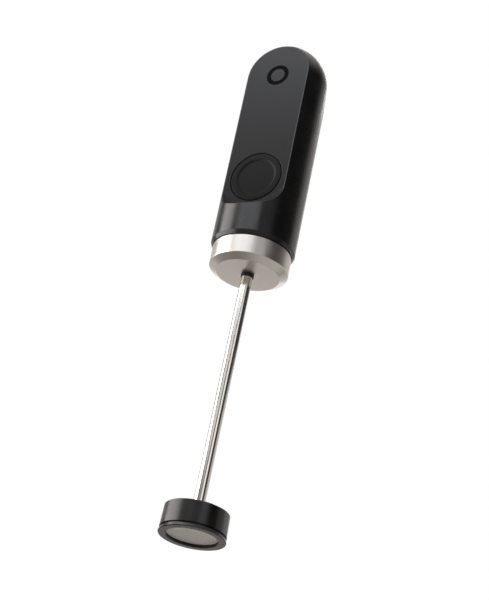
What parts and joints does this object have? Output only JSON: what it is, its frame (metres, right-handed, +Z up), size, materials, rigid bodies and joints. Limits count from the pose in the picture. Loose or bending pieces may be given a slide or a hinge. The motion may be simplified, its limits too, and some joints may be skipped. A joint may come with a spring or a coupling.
{
  "type": "milk frother",
  "caption": "Slim handheld milk frother: round-topped handle with flat front panel and dished button, steel base, long spindle and round impeller head with mesh screen.",
  "frame": {"origin": "centre of the flat underside of the screen frame, at the bottom of the upright frother", "axes": "+Z up the spindle's axis towards the domed end of the handle, -Y out of the front panel and button"},
  "size_m": [0.0368, 0.0368, 0.2362],
  "materials": {
    "shell_black": "satin",
    "panel_grey": "satin",
    "emblem_black": "matte",
    "button_grey": "satin",
    "seal_rubber": "matte",
    "steel_satin": "satin",
    "steel_polished": "polished",
    "mesh_steel": "satin",
    "head_black": "satin",
    "switch_plastic": "satin",
    "board_green": "satin",
    "chip_black": "matte",
    "screw_steel": "satin",
    "chassis_plastic": "matte",
    "cell_wrap": "satin",
    "nickel": "satin",
    "foam_rubber": "matte",
    "lead_red": "satin",
    "socket_steel": "satin",
    "motor_steel": "satin",
    "magnet": "matte",
    "bell_plastic": "satin",
    "brush_metal": "satin",
    "bush_bronze": "satin",
    "coupling_brass": "satin",
    "core_iron": "satin",
    "copper": "satin"
  },
  "bodies": {
    "handle": {"base_gasket": "seal_rubber", "base_o_ring": "seal_rubber", "base_screws": "screw_steel", "battery_cell": "cell_wrap", "battery_lead": "lead_red", "battery_pad": "foam_rubber", "battery_tabs": "nickel", "board_components": "chip_black", "board_screws": "screw_steel", "bush_circlip": "screw_steel", "button_seal": "seal_rubber", "charge_board": "board_green", "charge_leads": "lead_red", "chassis": "chassis_plastic", "control_board": "board_green", "emblem_inlay": "emblem_black", "front_panel": "panel_grey", "handle_shell": "shell_black", "lip_seal": "seal_rubber", "lower_bush": "bush_bronze", "motor_brushes": "brush_metal", "motor_can": "motor_steel", "motor_end_bell": "bell_plastic", "motor_front_bush": "bush_bronze", "motor_leads": "lead_red", "motor_magnets": "magnet", "motor_rear_bush": "bush_bronze", "motor_screws": "screw_steel", "motor_terminals": "brush_metal", "steel_base": "steel_satin", "switch_body": "switch_plastic", "usb_socket": "socket_steel", "usb_tongue": "chip_black"},
    "spindle": {"armature_core": "core_iron", "armature_windings": "copper", "commutator": "copper", "coupling_grub_screw": "screw_steel", "hub_insert": "coupling_brass", "impeller": "head_black", "motor_shaft": "screw_steel", "shaft_coupling": "coupling_brass", "spindle_shaft": "steel_polished"},
    "screen": {"screen_frame": "head_black", "screen_mesh": "mesh_steel"},
    "button": {"power_button": "button_grey", "switch_stem": "switch_plastic"}
  },
  "joints": [
    {"name": "spindle_spin", "type": "hinge", "parent": "handle", "child": "spindle", "pos_m": [0, 0, 0.12], "axis": [0, 0, 1], "continuous": true},
    {"name": "screen_pull_off", "type": "slide", "parent": "spindle", "child": "screen", "axis": [0, 0, -1], "range_m": [0, 0.012]},
    {"name": "button_press", "type": "slide", "parent": "handle", "child": "button", "axis": [0, 1, 0], "range_m": [0, 0.0004], "stiffness_N_per_m": 1500, "springref_m": -0.0006}
  ]
}
